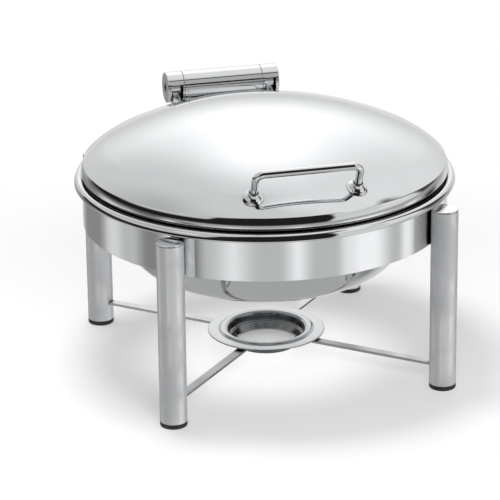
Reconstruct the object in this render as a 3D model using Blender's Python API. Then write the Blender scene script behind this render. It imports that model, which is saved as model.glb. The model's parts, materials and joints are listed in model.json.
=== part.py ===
"""A round buffet chafer: a domed lid on a rear barrel hinge, a water pan and a food pan in a
four-legged stand, and a holder for a tin of gel fuel under them.

Everything is in metres with +Z up. The pan's axis is vertical. The handle is at the front (-Y)
and the hinge at the rear (+Y). The origin is on the floor, under the middle of the whole box.
"""

import math

import bmesh
import bpy
from mathutils import Matrix, Vector

# Driving dimensions
GAP = 0.0003                # between neighbouring pieces that touch on the real object
STEEL = 0.0010              # sheet of the lid, the water pan and the fuel holder

RIM_RADIUS = 0.2200         # water pan, outermost
RIM_TOP = 0.2295
# The rim's turned-in edge, its sloping face and its rounded top: radius, and elevation at the end
RIM_START = -60.0
RIM_ARCS = ((0.0016, 11.0), (0.0160, 27.0), (0.0048, 90.0))
RIM_STEPS = (2, 2, 3)
WATER_BOTTOM = 0.1150
WATER_CORNER = 0.0500       # large corner between the water pan's wall and its bottom
WATER_CORNER_R = 0.1155     # where that corner's centre is
WATER_WALL_TILT = 25.0      # degrees from upright

FOOD_SHEET = 0.0008
FOOD_BEAD = 0.0016          # radius of the rolled edge
FOOD_RIM_RADIUS = 0.2090
FOOD_MOUTH = 0.1910         # radius of the wall at the flange
FOOD_BOTTOM = 0.1600
FOOD_CORNER = 0.0220
FOOD_WALL_TILT = 20.0
FOOD_TOP = RIM_TOP + GAP + 2 * FOOD_BEAD
PAN_LIP = 0.0030            # radius of the turn from either pan's flange into its wall

LID_RADIUS = 0.2118
LID_EDGE_START = 5.0        # elevation of the surface where the hem begins
# The skirt, the fold over it and the shoulder: each arc's radius, and the elevation where it ends
LID_ARCS = ((0.0320, 23.7), (0.0025, 46.0), (0.1030, 64.0))
LID_STEPS = (3, 2, 3, 6)    # facets along each of them and the crown
LID_HEM = 0.0015            # radius of the edge turned in under the lid
LID_HEM_INNER = 0.2040

HOOP_RADIUS = 0.2110
HOOP_SHEET = 0.0015
HOOP_BOTTOM = 0.1730
STAND_TURN = 3.4            # the round pan sits turned in its hoop, by this many degrees

LEG_RADIUS = 0.0154
LEG_WALL = 0.0012
LEG_HEIGHT = 0.2172
LEG_CAP = 0.0015
FOOT_HEIGHT = 0.0055
LEG_SCREW_Z = 0.1950
LEG_PLUG = 0.0060           # how far a cap reaches down inside its tube
FOOT_PLUG = 0.0127          # how far a foot reaches up inside its tube
LEG_SCREW_HOLE = 0.0032
LEG_SCREW_REACH = 0.0070    # of each leg screw, inside the leg's bore

BAR_WIDTH = 0.0110
BAR_THICKNESS = 0.0030
BAR_BOTTOM = 0.0261
RING_INNER = 0.0505
RING_OUTER = 0.0620
RING_THICKNESS = 0.0020

HOLDER_RADIUS = 0.0689
HOLDER_OPENING = 0.0458
HOLDER_BEAD_OUTER = 0.0565
HOLDER_BEAD_HEIGHT = 0.0020
HOLDER_LEDGE = 0.0415
HOLDER_LEDGE_DEPTH = 0.0092
HOLDER_FLOOR_RADIUS = 0.0373
HOLDER_DEPTH = 0.0170

HINGE_Y = 0.2120            # hinge axis, behind the pan's axis
HINGE_Z = 0.2718
BARREL_RADIUS = 0.0188
MOUNT_HALF_ANGLE = 9.2      # degrees of the rim that the barrel's neck covers, each side
MOUNT_BELOW_AXIS = 0.0080
BARREL_WALL = 0.0035
BARREL_HALF = 0.0488        # half the fixed barrel's length
KNUCKLE_END = 0.0696        # outer end of each knuckle, from the middle
KNUCKLE_WALL = 0.0040
AXLE_RADIUS = 0.0060
BUSH_LENGTH = 0.0100
BUSH_PLAY = 0.00005         # radial, between the turning axle and its bushes
POCKET_RADIUS = 0.0061      # the recess in a knuckle's end for the axle's screw
POCKET_DEPTH = 0.0028
WINDOW_INNER = 0.0510       # the opening in a knuckle through which the lug passes
WINDOW_OUTER = 0.0652
LUG_MIDDLE = 0.0585
LUG_WIDTH = 0.0120
LUG_EYE = 0.0105            # outer radius of the lug's eye round the axle
LUG_HALF_THICKNESS = 0.0045
LUG_FALL = 38.0             # degrees from straight down towards the dome
PAD_INNER = 0.1780          # the pad welded on the dome, as radii from the pan's axis
PAD_OUTER = 0.2050
PAD_RISE = 0.0030
PAD_HALF_ANGLE = 3.6
KNUCKLE_SCREW_HOLE = 0.0033

HANDLE_Y = 0.1780           # where the handle's feet meet the dome
HANDLE_HALF = 0.0588
HANDLE_TILT = 26.0          # degrees, forwards from upright
HANDLE_HEIGHT = 0.0346
HANDLE_ROD = 0.0044
HANDLE_BEND = 0.0090
HANDLE_BASE = 0.0116
HANDLE_BASE_HEIGHT = 0.0085
HANDLE_SEAT = 0.0012        # the rod's end and its seat in the base, above the dome
HANDLE_SCREW_HOLE = 0.0023
WASHER_RADIUS = 0.0070
WASHER_BELOW = 0.0044       # the washer's flat face, below the dome's outer face

# Facets around each kind of round piece
ROUND_PAN = 48
ROUND_HOLDER = 28
ROUND_BARREL = 28
ROUND_TUBE = 20
ROUND_SMALL = 12

FRAME_SHIFT = (RIM_RADIUS - HINGE_Y - BARREL_RADIUS) / 2
CORNERS = {"front_left": 225, "front_right": 315, "rear_right": 45, "rear_left": 135}
SIDES = {"left": -1, "right": 1}

# Base colour, roughness and metallic value
POLISHED = ((0.80, 0.81, 0.82), 0.08, 1.0)
SATIN = ((0.72, 0.73, 0.74), 0.30, 1.0)
RUBBER = ((0.012, 0.012, 0.013), 0.65, 0.0)
POLYMER = ((0.10, 0.10, 0.11), 0.45, 0.0)
SILICONE = ((0.60, 0.60, 0.58), 0.60, 0.0)


# Outlines, as lists of (radius, height)

def arc(centre, radius, start, end, steps):
    """Points on an arc, with angles in degrees from the outward direction towards up."""
    angles = [math.radians(start + (end - start) * i / steps) for i in range(steps + 1)]
    return [(centre[0] + radius * math.cos(a), centre[1] + radius * math.sin(a)) for a in angles]


def sheet(face, thickness):
    """A closed outline: the given face, and a parallel face to the right of its direction."""
    points = [Vector(p) for p in face]
    ways = [(b - a).normalized() for a, b in zip(points, points[1:])]
    back = []
    for i, point in enumerate(points):
        before, after = ways[max(i - 1, 0)], ways[min(i, len(ways) - 1)]
        right = Vector((before.y + after.y, -before.x - after.x)).normalized()
        reach = thickness / right.dot(Vector((after.y, -after.x)))
        moved = point + right * reach
        back.append((0.0 if point.x < 1e-6 else moved.x, moved.y))
    return list(face) + back[::-1]


def box_outline(inner, outer, low, high):
    return [(inner, low), (outer, low), (outer, high), (inner, high)]


def tangent_arcs(centre, start, arcs):
    """Arcs that run smoothly one into the next, as (centre, radius, start, end)."""
    chain = []
    for radius, end in arcs:
        if chain:
            turn = math.radians(start)
            centre = centre + (chain[-1][1] - radius) * Vector((math.cos(turn), math.sin(turn)))
        chain.append((centre, radius, start, end))
        start = end
    return chain


def rim_face(lift):
    """The rim's outer face from its top to its turned-in edge, this far outside the real one."""
    arcs = tangent_arcs(Vector((RIM_RADIUS - RIM_ARCS[0][0], 0.0)), RIM_START, RIM_ARCS)
    drop = RIM_TOP - arcs[-1][0].y - arcs[-1][1]
    face = []
    for (centre, radius, start, end), steps in zip(arcs, RIM_STEPS):
        face = face[:-1] + arc((centre.x, centre.y + drop), radius + lift, start, end, steps)
    return face[::-1]


def lid_arcs():
    """The dome's arcs from its lower edge to its crown, as (centre, radius, start, end)."""
    slope = math.radians(LID_EDGE_START)
    first = LID_ARCS[0][0]
    foot = Vector((LID_RADIUS - first * math.cos(slope),
                   FOOD_TOP + GAP + LID_HEM - (first - LID_HEM) * math.sin(slope)))
    arcs = tangent_arcs(foot, LID_EDGE_START, LID_ARCS)
    centre, radius, _, end = arcs[-1]
    outward = Vector((math.cos(math.radians(end)), math.sin(math.radians(end))))
    crown = radius + centre.x / outward.x
    return arcs + [(centre + (radius - crown) * outward, crown, end, 90.0)]


def lid_face(inset):
    """The lid's face from the crown down to its hem, this far inside the outer one."""
    face = []
    for (centre, radius, start, end), steps in zip(lid_arcs(), LID_STEPS):
        face = face[:-1] + arc(centre, radius - inset, start, end, steps)
    return [(0.0, face[-1][1])] + face[-2::-1]


def lid_height(radius):
    """Height of the lid's outer face at a distance from the pan's axis."""
    face = lid_face(0.0)
    for (r_in, z_in), (r_out, z_out) in zip(face, face[1:]):
        if r_in <= radius <= r_out:
            return z_in + (z_out - z_in) * (radius - r_in) / (r_out - r_in)
    return face[-1][1]


def pan_face(mouth, top, tilt, corner, centre_r, bottom):
    """A pan's inner face, from its flange to the middle of its bottom.

    The wall leaves the corner at the given tilt, and the flange turns into it over a lip.
    """
    slope = math.radians(tilt)
    centre = (centre_r, bottom + corner)
    edge = (mouth + PAN_LIP * math.cos(slope), top - PAN_LIP)
    turn = arc(edge, PAN_LIP, 90, 180 - tilt, 2)
    base = arc(centre, corner, -tilt, -90, 4)
    return turn + base + [(0.0, bottom)]


def wall_run(top, tilt, corner, bottom):
    """How far a pan's wall spreads between its corner and its lip."""
    slope = math.radians(tilt)
    lip_z = top - PAN_LIP + PAN_LIP * math.sin(slope)
    foot_z = bottom + corner - corner * math.sin(slope)
    return (lip_z - foot_z) * math.tan(slope)


# Building

def finish(name, bm, finish_values):
    """Makes an object of the mesh, smooth on its round faces, with its own material."""
    bmesh.ops.recalc_face_normals(bm, faces=bm.faces)
    mesh = bpy.data.meshes.new(name)
    bm.to_mesh(mesh)
    bm.free()
    mesh.shade_smooth()
    mesh.set_sharp_from_angle(angle=math.radians(35))
    piece = bpy.data.objects.new(name, mesh)
    bpy.context.scene.collection.objects.link(piece)
    colour, roughness, metallic = finish_values
    material = bpy.data.materials.new(name)
    material.use_nodes = True
    shader = material.node_tree.nodes["Principled BSDF"]
    shader.inputs["Base Color"].default_value = (*colour, 1.0)
    shader.inputs["Roughness"].default_value = roughness
    shader.inputs["Metallic"].default_value = metallic
    mesh.materials.append(material)
    return piece


def turned(name, outline, facets, finish_values, start=0.0, end=360.0):
    """A solid turned about Z from a closed outline, all the way round or over a sector."""
    bm = bmesh.new()
    corners = [bm.verts.new((r, 0.0, z)) for r, z in outline]
    spin_start = Matrix.Rotation(math.radians(start), 3, "Z")
    whole = abs(end - start) >= 360
    if whole:
        geometry = corners + [bm.edges.new(pair) for pair in zip(corners, corners[1:] + corners[:1])]
    else:
        geometry = corners + [bm.faces.new(corners)]
    bmesh.ops.rotate(bm, verts=corners, cent=(0, 0, 0), matrix=spin_start)
    bmesh.ops.spin(bm, geom=geometry, cent=(0, 0, 0), axis=(0, 0, 1), dvec=(0, 0, 0),
                   angle=math.radians(end - start), steps=facets, use_merge=whole)
    bmesh.ops.remove_doubles(bm, verts=bm.verts, dist=1e-6)
    flat = [e for e in bm.edges if not e.link_faces]
    bmesh.ops.delete(bm, geom=flat, context="EDGES")
    return finish(name, bm, finish_values)


def rod(name, radius, low, high, facets, finish_values):
    """A round bar along Z, turned half a facet so that it cuts between a tube's corners."""
    start = 180 / facets
    return turned(name, box_outline(0.0, radius, low, high), facets, finish_values, start, start + 360)


def block(name, low, high, finish_values):
    """A box between two corners."""
    bm = bmesh.new()
    size = [b - a for a, b in zip(low, high)]
    middle = [(a + b) / 2 for a, b in zip(low, high)]
    bmesh.ops.create_cube(bm, size=1.0, matrix=Matrix.Translation(middle) @ Matrix.Diagonal((*size, 1)))
    return finish(name, bm, finish_values)


def swept(name, path, radius, facets, across, finish_values):
    """A round rod along a path that lies in the plane normal to the direction across."""
    bm = bmesh.new()
    points = [Vector(p) for p in path]
    across = Vector(across)
    rings = []
    for i, point in enumerate(points):
        along = (points[min(i + 1, len(points) - 1)] - points[max(i - 1, 0)]).normalized()
        side = along.cross(across)
        turns = [math.tau * k / facets for k in range(facets)]
        rings.append([bm.verts.new(point + (across * math.cos(t) + side * math.sin(t)) * radius)
                      for t in turns])
    for ring, following in zip(rings, rings[1:]):
        for k in range(facets):
            after = (k + 1) % facets
            bm.faces.new((ring[k], ring[after], following[after], following[k]))
    bm.faces.new(rings[0])
    bm.faces.new(rings[-1])
    return finish(name, bm, finish_values)


def place(piece, parent, at=(0.0, 0.0, 0.0), turn=(0.0, 0.0, 0.0)):
    """Puts a piece under its parent, with its turns in degrees."""
    piece.parent = parent
    piece.location = at
    piece.rotation_euler = [math.radians(t) for t in turn]
    return piece


def shape(piece, operation, tool):
    """Cuts, joins or trims a piece with a tool that isn't part of the object."""
    modifier = piece.modifiers.new(tool.name, "BOOLEAN")
    modifier.operation = operation
    modifier.solver = "EXACT"
    modifier.object = tool
    tool.hide_render = True
    tool.display_type = "WIRE"


def axes(name, parent=None, at=(0.0, 0.0, 0.0), turn=(0.0, 0.0, 0.0)):
    empty = bpy.data.objects.new(name, None)
    bpy.context.scene.collection.objects.link(empty)
    return place(empty, parent, at, turn)


# The stand

def make_hoop(stand):
    """The band that the pan's rim drops over, drilled for the screws into the legs."""
    outline = box_outline(HOOP_RADIUS - HOOP_SHEET, HOOP_RADIUS, HOOP_BOTTOM, RIM_TOP - STEEL - GAP)
    hoop = place(turned("frame_hoop", outline, ROUND_PAN, POLISHED), stand)
    for corner, angle in CORNERS.items():
        drill = rod("hoop_drill_" + corner, LEG_SCREW_HOLE, -0.006, 0.006, ROUND_SMALL, POLISHED)
        around = math.radians(angle)
        at = (HOOP_RADIUS * math.cos(around), HOOP_RADIUS * math.sin(around), LEG_SCREW_Z)
        place(drill, stand, at, (0, 90, angle))
        shape(hoop, "DIFFERENCE", drill)


def make_leg(corner, stand):
    """A leg tube with its top cap, rubber foot and the screw that holds it to the hoop."""
    circle = HOOP_RADIUS + GAP + LEG_RADIUS
    around = math.radians(CORNERS[corner])
    leg_axes = axes("leg_axes_" + corner, stand,
                    (circle * math.cos(around), circle * math.sin(around), 0.0), (0, 0, CORNERS[corner]))
    bore = LEG_RADIUS - LEG_WALL
    tube_top = LEG_HEIGHT - LEG_CAP - GAP
    outline = box_outline(bore, LEG_RADIUS, FOOT_HEIGHT + GAP, tube_top)
    tube = place(turned("leg_" + corner, outline, ROUND_TUBE, POLISHED), leg_axes)
    drill = rod("leg_drill_" + corner, LEG_SCREW_HOLE, -LEG_RADIUS - 0.003, -bore + 0.005,
                ROUND_SMALL, POLISHED)
    place(drill, leg_axes, (0, 0, LEG_SCREW_Z), (0, 90, 0))
    shape(tube, "DIFFERENCE", drill)

    plug = bore - GAP
    cap_outline = [(0, tube_top - LEG_PLUG), (plug, tube_top - LEG_PLUG), (plug, tube_top + GAP),
                   (LEG_RADIUS, tube_top + GAP), (LEG_RADIUS, LEG_HEIGHT - 0.0004),
                   (LEG_RADIUS - 0.0004, LEG_HEIGHT), (0, LEG_HEIGHT)]
    place(turned("leg_cap_" + corner, cap_outline, ROUND_TUBE, POLISHED), leg_axes)

    foot_top = FOOT_HEIGHT + FOOT_PLUG
    foot_outline = [(0, 0), (LEG_RADIUS - 0.0014, 0), (LEG_RADIUS - 0.0003, 0.0008),
                    (LEG_RADIUS, 0.0022), (LEG_RADIUS, FOOT_HEIGHT), (plug, FOOT_HEIGHT),
                    (plug, foot_top - 0.0012), (plug - 0.0012, foot_top), (0, foot_top)]
    place(turned("foot_" + corner, foot_outline, ROUND_TUBE, RUBBER), leg_axes)

    # The screw lies along the radius, with its domed head inside the hoop.
    seat = -(LEG_RADIUS + HOOP_SHEET + 3 * GAP)
    tip = LEG_SCREW_REACH - bore
    shank = LEG_SCREW_HOLE - GAP
    screw_outline = [(0, seat - 0.0026), (0.0036, seat - 0.0026), (0.0048, seat - 0.0016),
                     (0.0050, seat), (shank, seat), (shank, tip), (0, tip)]
    screw = turned("leg_screw_" + corner, screw_outline, ROUND_SMALL, SATIN)
    place(screw, leg_axes, (0, 0, LEG_SCREW_Z), (0, 90, 0))


def make_brace(corner, stand):
    """A flat bar from a leg to the holder ring, its end hollowed to fit the leg."""
    circle = HOOP_RADIUS + GAP + LEG_RADIUS
    bar_axes = axes("bar_axes_" + corner, stand, (0, 0, 0), (0, 0, CORNERS[corner]))
    low = (HOLDER_OPENING + 0.0025, -BAR_WIDTH / 2, BAR_BOTTOM)
    high = (circle - LEG_RADIUS / 2, BAR_WIDTH / 2, BAR_BOTTOM + BAR_THICKNESS)
    bar = place(block("brace_bar_" + corner, low, high, POLISHED), bar_axes)
    saddle = rod("bar_saddle_" + corner, LEG_RADIUS + GAP, 0.010, 0.050, ROUND_TUBE, POLISHED)
    place(saddle, bar_axes, (circle, 0, 0))
    shape(bar, "DIFFERENCE", saddle)


def make_holder_ring(stand):
    low = BAR_BOTTOM + BAR_THICKNESS + GAP
    outline = box_outline(RING_INNER, RING_OUTER, low, low + RING_THICKNESS)
    place(turned("holder_ring", outline, ROUND_HOLDER, POLISHED), stand)


def make_fuel_holder(stand):
    """The dish that drops into the ring: a flange, a raised bead, and a recess with a ledge."""
    top = BAR_BOTTOM + BAR_THICKNESS + RING_THICKNESS + 2 * GAP + STEEL
    half = (HOLDER_BEAD_OUTER - HOLDER_OPENING) / 2
    swell = (half ** 2 + HOLDER_BEAD_HEIGHT ** 2) / (2 * HOLDER_BEAD_HEIGHT)
    spread = math.degrees(math.asin(half / swell))
    bead_centre = (HOLDER_OPENING + half, top + HOLDER_BEAD_HEIGHT - swell)
    ledge = top - HOLDER_LEDGE_DEPTH
    floor = top - HOLDER_DEPTH
    corner = 0.0018
    corner_centre = (HOLDER_FLOOR_RADIUS - 0.0015, floor + corner)
    face = [(HOLDER_RADIUS, top - 0.0014), (HOLDER_RADIUS - 0.0004, top - 0.0003),
            (HOLDER_RADIUS - 0.0012, top)]
    face += arc(bead_centre, swell, 90 - spread, 90 + spread, 4)
    face += [(HOLDER_LEDGE + 0.0018, ledge + 0.0006), (HOLDER_LEDGE + 0.0012, ledge),
             (HOLDER_LEDGE, ledge - 0.0005)]
    face += arc(corner_centre, corner, -10, -90, 2) + [(0.0, floor)]
    # Followed from the floor out to the flange, the face has its metal on the right.
    outline = sheet(face[::-1], STEEL)
    return place(turned("fuel_holder", outline, ROUND_HOLDER, POLISHED), stand)


# The pans and the fixed half of the hinge

def make_water_pan(pan):
    """The outer pan. Its rim drops over the hoop, and its rounded bowl hangs inside it."""
    corner = WATER_CORNER - STEEL
    base = WATER_BOTTOM + STEEL
    foot_r = WATER_CORNER_R + corner * math.cos(math.radians(WATER_WALL_TILT))
    mouth = foot_r + wall_run(RIM_TOP, WATER_WALL_TILT, corner, base)
    face = rim_face(0.0)[::-1] + pan_face(mouth, RIM_TOP, WATER_WALL_TILT, corner, WATER_CORNER_R, base)
    outline = sheet(face[::-1], STEEL)
    place(turned("water_pan", outline, ROUND_PAN, POLISHED), pan)


def make_food_pan(pan):
    """The pan for the food, which hangs by its beaded flange on the water pan's rim."""
    centre = (FOOD_RIM_RADIUS - FOOD_BEAD, FOOD_TOP - FOOD_BEAD)
    corner = FOOD_CORNER - FOOD_SHEET
    base = FOOD_BOTTOM + FOOD_SHEET
    foot_r = FOOD_MOUTH - wall_run(FOOD_TOP, FOOD_WALL_TILT, corner, base)
    centre_r = foot_r - corner * math.cos(math.radians(FOOD_WALL_TILT))
    face = arc(centre, FOOD_BEAD, -90, 90, 4)
    face += pan_face(FOOD_MOUTH, FOOD_TOP, FOOD_WALL_TILT, corner, centre_r, base)
    outline = sheet(face[::-1], FOOD_SHEET)
    place(turned("food_pan", outline, ROUND_PAN, SATIN), pan)


def make_hinge_mount(pan):
    """The neck welded on the rear of the rim, which carries the barrel."""
    inner, outer = LID_RADIUS + 0.0011, RIM_RADIUS + 0.0006
    under = [(inner, RIM_TOP + GAP)] + rim_face(GAP)[:RIM_STEPS[2] + 2]
    top = HINGE_Z - MOUNT_BELOW_AXIS
    outline = under + [(outer, under[-1][1]), (outer, top), (inner, top)]
    mount = turned("hinge_mount", outline, 8, POLISHED, 90 - MOUNT_HALF_ANGLE, 90 + MOUNT_HALF_ANGLE)
    place(mount, pan)
    tool = rod("mount_tool", BARREL_RADIUS + GAP, -KNUCKLE_END, KNUCKLE_END, ROUND_BARREL, POLISHED)
    place(tool, pan, (0, HINGE_Y, HINGE_Z), (0, 90, 0))
    shape(mount, "DIFFERENCE", tool)


def make_barrel(pan):
    """The fixed barrel, with a bush at each end and a friction damper between them."""
    fixed = axes("barrel_axes", pan, (0, HINGE_Y, HINGE_Z), (0, 90, 0))
    bore = BARREL_RADIUS - BARREL_WALL
    place(turned("hinge_barrel", box_outline(bore, BARREL_RADIUS, -BARREL_HALF, BARREL_HALF),
                 ROUND_BARREL, POLISHED), fixed)
    fit = AXLE_RADIUS + BUSH_PLAY
    for side, way in SIDES.items():
        ends = sorted((way * (BARREL_HALF - BUSH_LENGTH), way * BARREL_HALF))
        outline = box_outline(fit, bore - GAP, *ends)
        place(turned("hinge_bush_" + side, outline, ROUND_BARREL, POLYMER), fixed)
    inside = BARREL_HALF - BUSH_LENGTH - GAP
    place(turned("hinge_damper", box_outline(fit, bore - GAP, -inside, inside), ROUND_BARREL, SATIN), fixed)


# The lid and the moving half of the hinge

def lid_volume(name, inset, lid):
    """The space under the lid's face, moved inwards by the inset."""
    face = lid_face(inset)
    outline = face + [(face[-1][0], FOOD_BOTTOM), (0.0, FOOD_BOTTOM)]
    return place(turned(name, outline, ROUND_PAN, POLISHED), lid, (0, -HINGE_Y, -HINGE_Z))


def handle_feet():
    """Where each arm of the handle meets the dome, from the pan's axis at floor level."""
    height = lid_height(math.hypot(HANDLE_HALF, HANDLE_Y))
    return {side: Vector((way * HANDLE_HALF, -HANDLE_Y, height)) for side, way in SIDES.items()}


def make_lid_shell(lid):
    """The domed lid, with a hem turned in at its lower edge, drilled for the handle."""
    face = lid_face(0.0)
    hem = (LID_RADIUS - LID_HEM * math.cos(math.radians(LID_EDGE_START)), FOOD_TOP + GAP + LID_HEM)
    face += arc(hem, LID_HEM, LID_EDGE_START, -90, 2)[1:] + [(LID_HEM_INNER, FOOD_TOP + GAP)]
    shell = turned("lid_shell", sheet(face, STEEL), ROUND_PAN, POLISHED)
    place(shell, lid, (0, -HINGE_Y, -HINGE_Z))
    for side, foot in handle_feet().items():
        drill = rod("lid_drill_" + side, HANDLE_SCREW_HOLE, -0.010, 0.010, ROUND_SMALL, POLISHED)
        place(drill, lid, foot - Vector((0, HINGE_Y, HINGE_Z)), (HANDLE_TILT, 0, 0))
        shape(shell, "DIFFERENCE", drill)


def handle_path():
    """The middle line of the bent rod, in the handle's own plane: along X, then up."""
    across, up = HANDLE_HALF - HANDLE_BEND, HANDLE_HEIGHT - HANDLE_BEND
    left = [(-a, b) for a, b in arc((across, up), HANDLE_BEND, 0, 90, 5)]
    right = arc((across, up), HANDLE_BEND, 90, 0, 5)
    foot = HANDLE_SEAT + GAP
    return [(-HANDLE_HALF, foot)] + left + right + [(HANDLE_HALF, foot)]


def make_handle(lid, outside, inside):
    """A bent rod on two flared bases, held from inside by screws with soft washers."""
    feet = handle_feet()
    middle = (feet["left"] + feet["right"]) / 2 - Vector((0, HINGE_Y, HINGE_Z))
    handle_axes = axes("handle_axes", lid, middle, (HANDLE_TILT, 0, 0))
    path = [(x, 0, z) for x, z in handle_path()]
    bar = place(swept("handle_rod", path, HANDLE_ROD, 12, (0, 1, 0), POLISHED), handle_axes)
    for side, way in SIDES.items():
        at = (way * HANDLE_HALF, 0, 0)
        drill = rod("rod_drill_" + side, HANDLE_SCREW_HOLE, -0.001, 0.0120, ROUND_SMALL, POLISHED)
        place(drill, handle_axes, at)
        shape(bar, "DIFFERENCE", drill)

        bore = HANDLE_ROD + GAP
        hole = HANDLE_SCREW_HOLE + 0.0007
        flare = arc((HANDLE_BASE + 0.0006, HANDLE_BASE_HEIGHT), 0.0070, 250, 180, 4)
        outline = [(hole, -0.006), (HANDLE_BASE, -0.006), (HANDLE_BASE, HANDLE_SEAT)]
        outline += flare + [(bore, HANDLE_BASE_HEIGHT), (bore, HANDLE_SEAT), (hole, HANDLE_SEAT)]
        base = place(turned("handle_base_" + side, outline, ROUND_TUBE, POLISHED), handle_axes, at)
        shape(base, "DIFFERENCE", outside)

        washer_outline = box_outline(HANDLE_SCREW_HOLE + GAP, WASHER_RADIUS, -WASHER_BELOW, 0.0060)
        washer = turned("handle_washer_" + side, washer_outline, ROUND_SMALL, SILICONE)
        place(washer, handle_axes, at)
        shape(washer, "INTERSECT", inside)

        head = -WASHER_BELOW - GAP
        shank = HANDLE_SCREW_HOLE - GAP
        screw_outline = [(0, head - 0.0024), (0.0034, head - 0.0024), (0.0045, head - 0.0012),
                         (0.0045, head), (shank, head), (shank, 0.0100), (0, 0.0100)]
        screw = turned("handle_screw_" + side, screw_outline, ROUND_SMALL, SATIN)
        place(screw, handle_axes, at)


def make_knuckle(side, lid):
    """An end of the hinge that turns with the lid: a cup with a window for the lug."""
    way = SIDES[side]
    bore = BARREL_RADIUS - BARREL_WALL
    inner, wall = BARREL_HALF + GAP, KNUCKLE_END - KNUCKLE_WALL
    seat = KNUCKLE_END - POCKET_DEPTH
    outline = [(bore, inner), (BARREL_RADIUS, inner), (BARREL_RADIUS, KNUCKLE_END - 0.0006),
               (BARREL_RADIUS - 0.0006, KNUCKLE_END), (POCKET_RADIUS, KNUCKLE_END),
               (POCKET_RADIUS, seat), (KNUCKLE_SCREW_HOLE, seat), (KNUCKLE_SCREW_HOLE, wall),
               (bore, wall)]
    knuckle = turned("hinge_knuckle_" + side, outline, ROUND_BARREL, POLISHED)
    place(knuckle, lid, (0, 0, 0), (0, way * 90, 0))
    low = (min(way * WINDOW_INNER, way * WINDOW_OUTER), -0.030, -0.030)
    high = (max(way * WINDOW_INNER, way * WINDOW_OUTER), -0.0005, -0.0005)
    window = place(block("window_tool_" + side, low, high, POLISHED), lid)
    shape(knuckle, "DIFFERENCE", window)

    head, top, tip = seat + GAP, seat + GAP + 0.0014, seat - 0.0110
    shank = KNUCKLE_SCREW_HOLE - 0.0005
    screw_outline = [(0, tip), (shank, tip), (shank, head), (0.0056, head), (0.0056, top - 0.0004),
                     (0.0052, top), (0.0026, top), (0.0026, top - 0.0010), (0, top - 0.0010)]
    screw = turned("hinge_screw_" + side, screw_outline, ROUND_SMALL, SATIN)
    place(screw, lid, (0, 0, 0), (0, way * 90, 0))


def make_lug(side, lid, outside):
    """The arm from the axle through the knuckle's window to a pad welded on the dome."""
    way = SIDES[side]
    low, high = LUG_MIDDLE - LUG_WIDTH / 2, LUG_MIDDLE + LUG_WIDTH / 2
    eye = box_outline(AXLE_RADIUS + GAP, LUG_EYE, low, high)
    lug = place(turned("hinge_lug_" + side, eye, ROUND_BARREL, POLISHED), lid, (0, 0, 0), (0, way * 90, 0))

    ends = sorted((way * low, way * high))
    arm = block("lug_arm_" + side, (ends[0], -LUG_HALF_THICKNESS, -0.0300),
                (ends[1], LUG_HALF_THICKNESS, 0.0020 - LUG_EYE), POLISHED)
    place(arm, lid, (0, 0, 0), (-LUG_FALL, 0, 0))
    shape(lug, "UNION", arm)

    steps = 4
    radii = [PAD_INNER + (PAD_OUTER - PAD_INNER) * i / steps for i in range(steps + 1)]
    pad_face = [(r, lid_height(r) + PAD_RISE) for r in radii]
    under_face = [(r, lid_height(r) - PAD_RISE) for r in radii]
    bearing = 90 - way * math.degrees(math.atan2(LUG_MIDDLE, HINGE_Y - 0.016))
    pad = turned("lug_pad_" + side, pad_face + under_face[::-1], 4, POLISHED,
                 bearing - PAD_HALF_ANGLE, bearing + PAD_HALF_ANGLE)
    place(pad, lid, (0, -HINGE_Y, -HINGE_Z))
    shape(lug, "UNION", pad)
    shape(lug, "DIFFERENCE", outside)


def make_axle(lid):
    """The shaft through the barrel, drilled at each end for the knuckle's screw."""
    end = KNUCKLE_END - KNUCKLE_WALL - GAP
    hole = KNUCKLE_SCREW_HOLE - 0.0002
    depth = 0.0120
    outline = [(0, -end + depth), (hole, -end + depth), (hole, -end), (AXLE_RADIUS, -end),
               (AXLE_RADIUS, end), (hole, end), (hole, end - depth), (0, end - depth)]
    place(turned("hinge_axle", outline, ROUND_BARREL, SATIN), lid, (0, 0, 0), (0, 90, 0))


def build():
    for leftover in list(bpy.data.objects):
        bpy.data.objects.remove(leftover)
    chafer = axes("chafer", None, (0, FRAME_SHIFT, 0))

    stand = axes("stand_axes", chafer, (0, 0, 0), (0, 0, STAND_TURN))
    make_hoop(stand)
    for corner in CORNERS:
        make_leg(corner, stand)
        make_brace(corner, stand)
    make_holder_ring(stand)
    make_fuel_holder(stand)

    pan = axes("pan_axes", chafer)
    make_water_pan(pan)
    make_food_pan(pan)
    make_hinge_mount(pan)
    make_barrel(pan)

    lid = axes("lid_hinge_axes", pan, (0, HINGE_Y, HINGE_Z))
    outside = lid_volume("lid_outside_tool", -GAP, lid)
    inside = lid_volume("lid_inside_tool", STEEL + GAP, lid)
    make_lid_shell(lid)
    make_handle(lid, outside, inside)
    make_axle(lid)
    for side in SIDES:
        make_knuckle(side, lid)
        make_lug(side, lid, outside)
    for tool in (outside, inside):
        tool.hide_render = True
        tool.display_type = "WIRE"


build()
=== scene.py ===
"""The looks of a round roll top chafer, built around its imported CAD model.

Everything is in metres, in the CAD's own frame: +Z up, the handle at the front (-Y) and the lid's
hinge at the rear (+Y). Each visible piece is a fine mesh that stands for one CAD node. Its size and
place are read from that node, and only the roundings and sheet thicknesses are given here.
"""

import json
import math

import bmesh
import bpy
from mathutils import Matrix, Vector


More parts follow.
